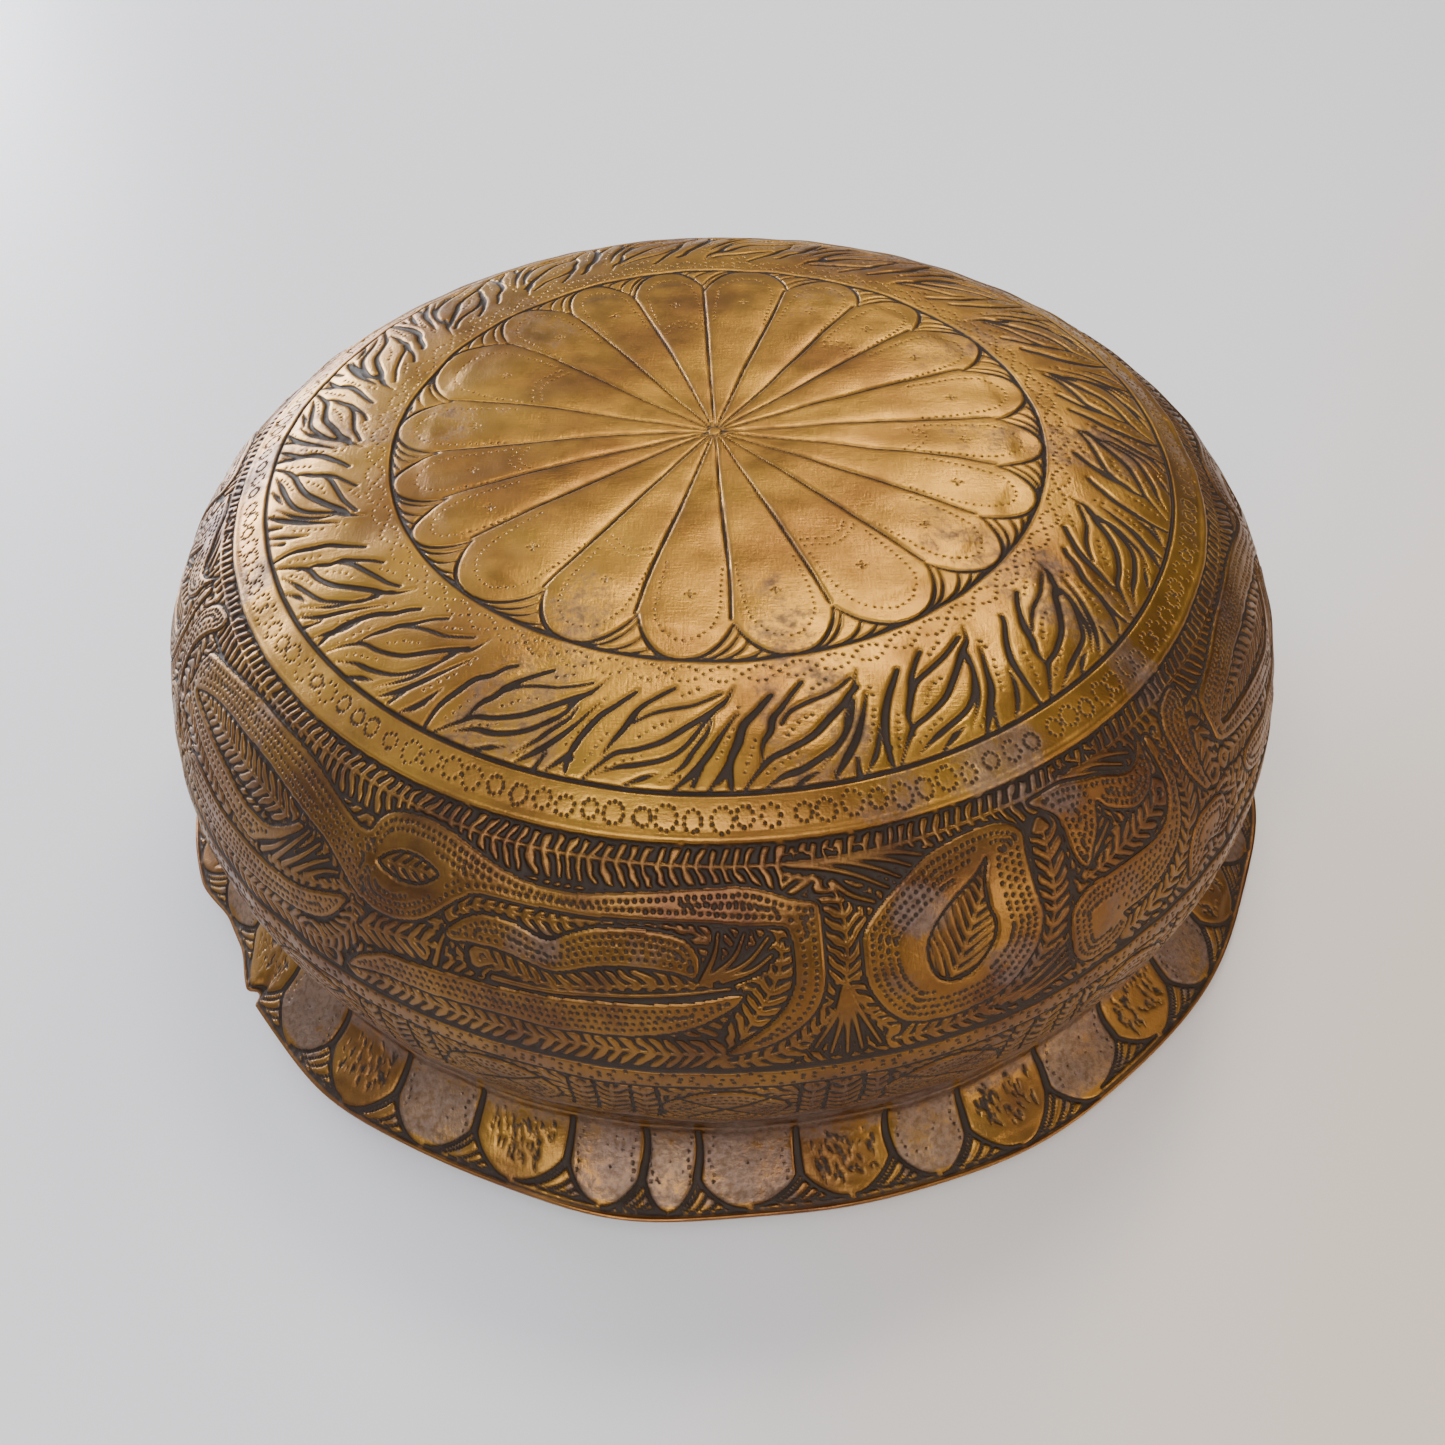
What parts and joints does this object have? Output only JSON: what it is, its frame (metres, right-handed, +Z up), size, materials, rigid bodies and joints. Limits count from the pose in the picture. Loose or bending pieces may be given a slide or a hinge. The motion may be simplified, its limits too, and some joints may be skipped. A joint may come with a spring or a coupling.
{
  "type": "masala dabba spice box",
  "caption": "Round brass spice box: engraved domed cover with petal flange over a shallow tinned base that holds loose cups under an inner lid, with a spoon.",
  "frame": {"origin": "centre of the base's foot, on the table", "axes": "+Z up along the box's centre line, +X to the right and +Y to the back as the box is looked at"},
  "size_m": [0.22, 0.22, 0.0818],
  "materials": {
    "engraved_brass": "hand engraved, dark in the cuts, worn tin on the waist",
    "plain_brass": "dull, lightly tarnished",
    "tinned_brass": "dull hand-wiped tin",
    "cup_brass": "spun, softly polished",
    "turned_brass": "turned, polished by use",
    "spoon_brass": "beaten, polished by use",
    "rivet_brass": "peened"
  },
  "bodies": {
    "base": {"base_pan": "tinned_brass", "base_foot_ring": "plain_brass", "base_seat_ring": "plain_brass"},
    "cover": {"cover_shell": "engraved_brass", "cover_bezel": "plain_brass"},
    "spoon": {"spoon_bowl": "spoon_brass", "spoon_handle": "spoon_brass", "spoon_rivets": "rivet_brass"},
    "inner_lid": {"inner_lid": "tinned_brass", "inner_lid_band": "plain_brass", "inner_lid_knob": "turned_brass", "knob_washer": "plain_brass", "knob_rivet": "plain_brass"},
    "centre_cup": {"centre_cup": "cup_brass"},
    "outer_cup_1": {"outer_cup_1": "cup_brass"},
    "outer_cup_2": {"outer_cup_2": "cup_brass"},
    "outer_cup_3": {"outer_cup_3": "cup_brass"},
    "outer_cup_4": {"outer_cup_4": "cup_brass"},
    "outer_cup_5": {"outer_cup_5": "cup_brass"},
    "outer_cup_6": {"outer_cup_6": "cup_brass"}
  },
  "joints": [
    {"name": "cover_lift", "type": "slide", "parent": "base", "child": "cover", "axis": [0, 0, 1], "range_m": [0, 0.26]},
    {"name": "spoon_lift", "type": "slide", "parent": "base", "child": "spoon", "axis": [0, 0, 1], "range_m": [0, 0.195]},
    {"name": "inner_lid_lift", "type": "slide", "parent": "base", "child": "inner_lid", "axis": [0, 0, 1], "range_m": [0, 0.1586]},
    {"name": "centre_cup_lift", "type": "slide", "parent": "base", "child": "centre_cup", "axis": [0, 0, 1], "range_m": [0, 0.0988]},
    {"name": "outer_cup_1_lift", "type": "slide", "parent": "base", "child": "outer_cup_1", "axis": [0, 0, 1], "range_m": [0, 0.078]},
    {"name": "outer_cup_2_lift", "type": "slide", "parent": "base", "child": "outer_cup_2", "axis": [0, 0, 1], "range_m": [0, 0.0676]},
    {"name": "outer_cup_3_lift", "type": "slide", "parent": "base", "child": "outer_cup_3", "axis": [0, 0, 1], "range_m": [0, 0.078]},
    {"name": "outer_cup_4_lift", "type": "slide", "parent": "base", "child": "outer_cup_4", "axis": [0, 0, 1], "range_m": [0, 0.0676]},
    {"name": "outer_cup_5_lift", "type": "slide", "parent": "base", "child": "outer_cup_5", "axis": [0, 0, 1], "range_m": [0, 0.078]},
    {"name": "outer_cup_6_lift", "type": "slide", "parent": "base", "child": "outer_cup_6", "axis": [0, 0, 1], "range_m": [0, 0.0676]}
  ],
  "couplings": [
    {"joint": "spoon_lift", "follows": "cover_lift", "ratio": 0.75},
    {"joint": "inner_lid_lift", "follows": "cover_lift", "ratio": 0.61},
    {"joint": "centre_cup_lift", "follows": "cover_lift", "ratio": 0.38},
    {"joint": "outer_cup_1_lift", "follows": "cover_lift", "ratio": 0.3},
    {"joint": "outer_cup_2_lift", "follows": "cover_lift", "ratio": 0.26},
    {"joint": "outer_cup_3_lift", "follows": "cover_lift", "ratio": 0.3},
    {"joint": "outer_cup_4_lift", "follows": "cover_lift", "ratio": 0.26},
    {"joint": "outer_cup_5_lift", "follows": "cover_lift", "ratio": 0.3},
    {"joint": "outer_cup_6_lift", "follows": "cover_lift", "ratio": 0.26}
  ]
}
